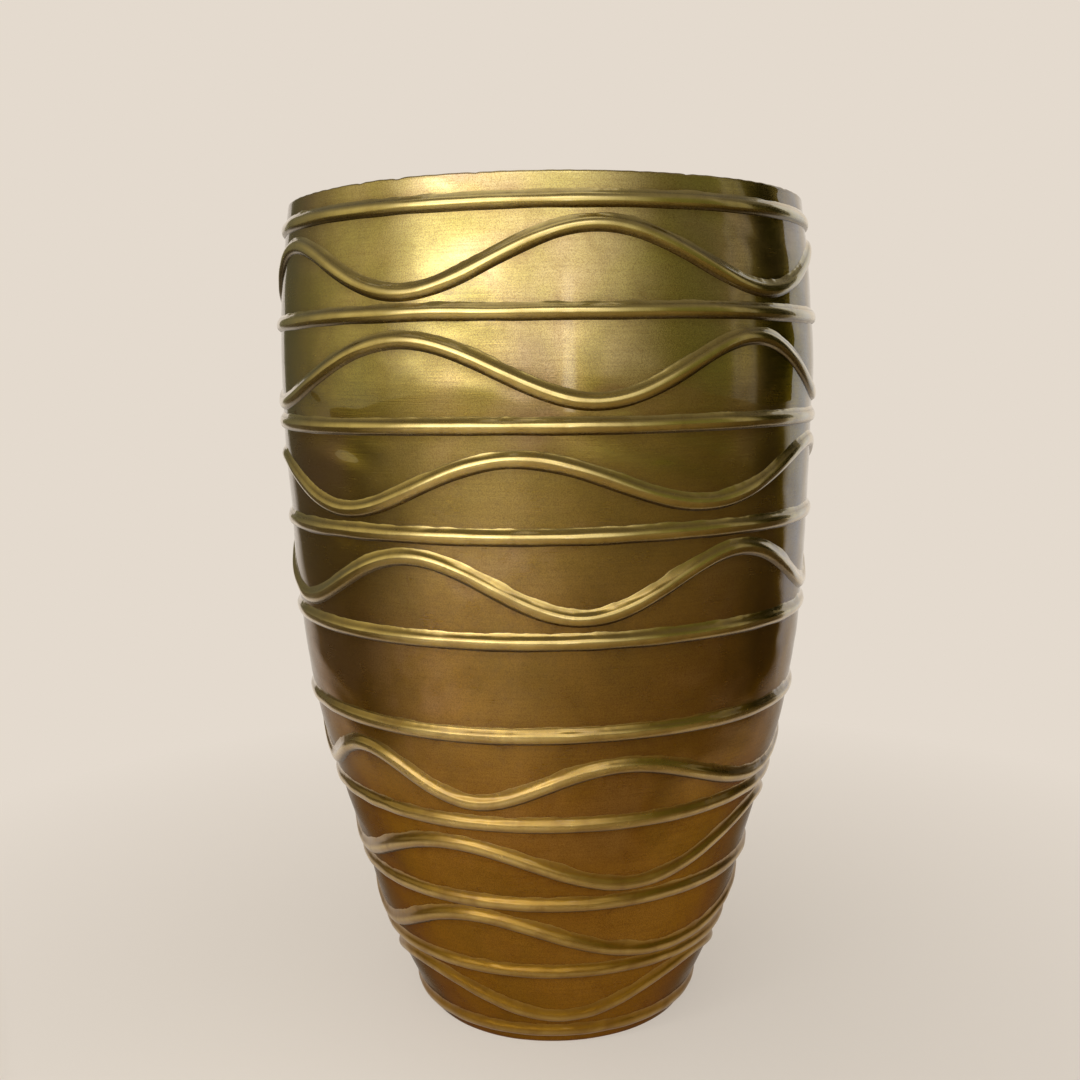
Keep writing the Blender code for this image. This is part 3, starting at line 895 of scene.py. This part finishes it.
# the room: a wide soft window in front, to the left, and a dim room with a few pale uprights on the right
roomLook = {
    "window": ((-78, -46), (54, -4)),       # degrees from the front, soft left and right edges
    "windowRise": ((-0.05, 0.10), (0.72, 0.52)),    # soft lower and upper edges, as the sine of the rise
    "windowLevel": 1.65,
    "pane": ((-62, -44), (-8, -28)),        # its clearest pane
    "paneRise": ((0.08, 0.20), (0.36, 0.26)),
    "paneLevel": 4.2,
    "sky": ((-62, -50), (24, 12)),          # the brighter upper lights of the window
    "skyRise": ((0.40, 0.48), (0.62, 0.54)),
    "skyLevel": 2.5,
    "gap": ((5.0, 8.0), (12.5, 9.5)),       # clear glass between two blinds
    "gapRise": ((-0.20, 0.02), (0.30, 0.12)),
    "gapLevel": 2.6,
    "horizon": ((-180, "#5A5640"), (-152, "#7E7A66"), (-146, "#625E44"), (-134, "#747056"),
                (-118, "#8E886A"), (-105, "#ACA682"), (-92, "#CEC8A2"), (-83, "#DCD6B2"),
                (-76, "#D0CAA6"), (-70, "#B4AE8A"), (-64, "#D8D2AE"), (46, "#7E7E4A"),
                (60, "#74764A"), (80, "#70724A"), (83, "#ACA894"), (89, "#9C987E"),
                (94, "#A4A08C"), (97, "#24220A"), (118, "#1A1802"), (180, "#5A5640")),
    "ceiling": "#807C72",
    "ceilingRise": (0.35, 0.75),
}
room = bpy.data.worlds.new("studioRoom")
bpy.context.scene.world = room
room.use_nodes = True
tree = room.node_tree
direction = addNode(tree, "ShaderNodeTexCoord").outputs["Generated"]
axes, bearing, roomTone = toneByBearing(tree, direction, roomLook["horizon"])
upShare = addNode(tree, "ShaderNodeMapRange", {"Value": axes["Z"], "From Min": roomLook["ceilingRise"][0],
                  "From Max": roomLook["ceilingRise"][1]}).outputs[0]
roomTone = addNode(tree, "ShaderNodeMix", {0: upShare, 6: roomTone, 7: toLinear(roomLook["ceiling"])},
                   data_type="RGBA").outputs[2]
for name in ("window", "pane", "sky", "gap"):
    glow = 1.0
    for value, edges, unit in ((bearing, name, math.radians(1)), (axes["Z"], name + "Rise", 1.0)):
        for dark, bright in roomLook[edges]:
            edge = addNode(tree, "ShaderNodeMapRange", {"Value": value, "From Min": dark * unit,
                           "From Max": bright * unit}, interpolation_type="SMOOTHSTEP").outputs[0]
            glow = addNode(tree, "ShaderNodeMath", {0: edge, 1: glow}, operation="MULTIPLY").outputs[0]
    level = roomLook[name + "Level"]
    roomTone = addNode(tree, "ShaderNodeMix", {0: glow, 6: roomTone, 7: (level, level, level, 1.0)},
                       data_type="RGBA").outputs[2]
tree.links.new(roomTone, tree.nodes["Background"].inputs["Color"])

cameraSetup = {
    "place": (0.0, -0.9556, 0.4902),
    "pitch": 0.136754,      # radians, looking down
    "roll": -0.0147007,
    "lens": 41.21,
    "sensor": 36.0,
    "shift": -0.0090,
}
lens = bpy.data.cameras.new("photoCamera")
lens.sensor_width = cameraSetup["sensor"]
lens.lens = cameraSetup["lens"]
lens.shift_x = cameraSetup["shift"]
camera = bpy.data.objects.new("photoCamera", lens)
bpy.context.scene.collection.objects.link(camera)
camera.matrix_world = (Matrix.Translation(cameraSetup["place"])
                       @ Matrix.Rotation(math.pi / 2 - cameraSetup["pitch"], 4, "X")
                       @ Matrix.Rotation(cameraSetup["roll"], 4, "Z"))
bpy.context.scene.camera = camera
bpy.context.scene.view_settings.view_transform = "Standard"
print("stage, lamps and camera set")

bpy.context.view_layer.update()
